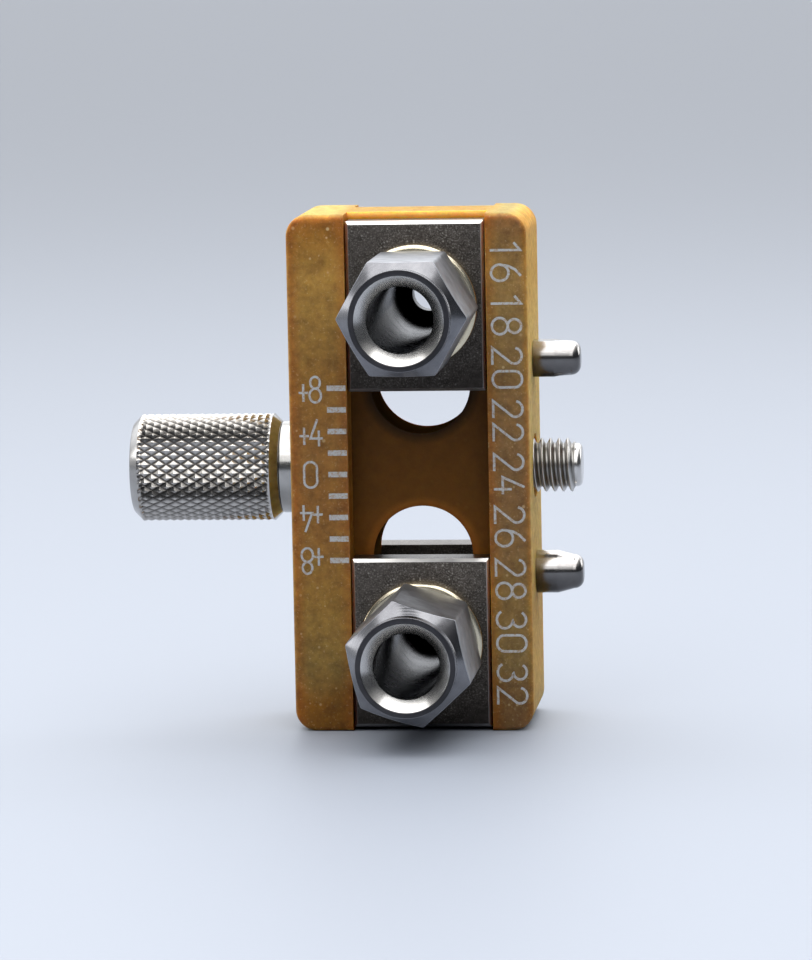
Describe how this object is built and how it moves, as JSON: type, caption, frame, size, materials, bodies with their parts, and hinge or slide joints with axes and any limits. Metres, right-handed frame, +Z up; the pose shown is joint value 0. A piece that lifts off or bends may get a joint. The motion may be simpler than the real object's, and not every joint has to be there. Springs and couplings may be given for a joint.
{
  "type": "orthopedic aiming jig",
  "caption": "Aiming jig: a slotted plastic body with a scale carries sliding slides with hollow hexagonal guide barrels, a captive knurled thumb screw and locating pins.",
  "frame": {"origin": "on the mating face, where the axis of the thumb screw leaves it; halfway up the body and halfway through its depth", "axes": "+X out of the mating face along the stud, +Y to the back, away from the guide barrels' hexagons, +Z up along the scale"},
  "size_m": [0.042, 0.0304, 0.048],
  "materials": {
    "amber_plastic": "translucent moulded plastic with a satin machined surface",
    "slide_steel": "dark satin stainless steel, bead blasted, with bright bevels",
    "barrel_steel": "turned stainless steel",
    "washer_steel": "polished stainless steel",
    "spring_steel": "dark spring steel",
    "knob_steel": "diamond knurled stainless steel",
    "screw_steel": "turned stainless steel",
    "pin_steel": "polished stainless steel"
  },
  "bodies": {
    "body": {"jig_body": "amber_plastic", "screw_retaining_pin": "pin_steel", "upper_locating_pin": "pin_steel", "lower_locating_pin": "pin_steel"},
    "upper_carriage": {"upper_front_slide": "slide_steel", "upper_rear_slide": "slide_steel"},
    "upper_washer": {"upper_thrust_washer": "washer_steel"},
    "upper_barrel": {"upper_guide_barrel": "barrel_steel", "upper_retaining_ring": "spring_steel"},
    "lower_carriage": {"lower_front_slide": "slide_steel", "lower_rear_slide": "slide_steel"},
    "lower_washer": {"lower_thrust_washer": "washer_steel"},
    "lower_barrel": {"lower_guide_barrel": "barrel_steel", "lower_retaining_ring": "spring_steel"},
    "screw_washer": {"knob_washer": "washer_steel"},
    "screw": {"thumb_knob": "knob_steel", "thumb_screw": "screw_steel"}
  },
  "joints": [
    {"name": "upper_slide", "type": "slide", "parent": "body", "child": "upper_carriage", "axis": [0, 0, 1], "range_m": [-0.0075, 0.0005]},
    {"name": "upper_barrel_lift", "type": "slide", "parent": "upper_carriage", "child": "upper_washer", "axis": [0, -1, 0], "range_m": [0, 0.000375]},
    {"name": "upper_barrel_turn", "type": "hinge", "parent": "upper_washer", "child": "upper_barrel", "pos_m": [-0.0103, -0.0065, 0.0155], "axis": [0, -1, 0], "range_deg": [0, 180]},
    {"name": "lower_slide", "type": "slide", "parent": "body", "child": "lower_carriage", "axis": [0, 0, -1], "range_m": [-0.00775, 0.00025]},
    {"name": "lower_barrel_lift", "type": "slide", "parent": "lower_carriage", "child": "lower_washer", "axis": [0, -1, 0], "range_m": [0, 0.000375]},
    {"name": "lower_barrel_turn", "type": "hinge", "parent": "lower_washer", "child": "lower_barrel", "pos_m": [-0.0103, -0.0065, -0.01575], "axis": [0, -1, 0], "range_deg": [0, 180]},
    {"name": "screw_slide", "type": "slide", "parent": "body", "child": "screw_washer", "axis": [-1, 0, 0], "range_m": [0, 0.0044]},
    {"name": "screw_turn", "type": "hinge", "parent": "screw_washer", "child": "screw", "pos_m": [0, 0, 0], "axis": [1, 0, 0], "continuous": true}
  ],
  "couplings": [
    {"joint": "upper_barrel_turn", "follows": "upper_barrel_lift", "rad_per_m": 8377.6},
    {"joint": "lower_barrel_turn", "follows": "lower_barrel_lift", "rad_per_m": 8377.6}
  ]
}
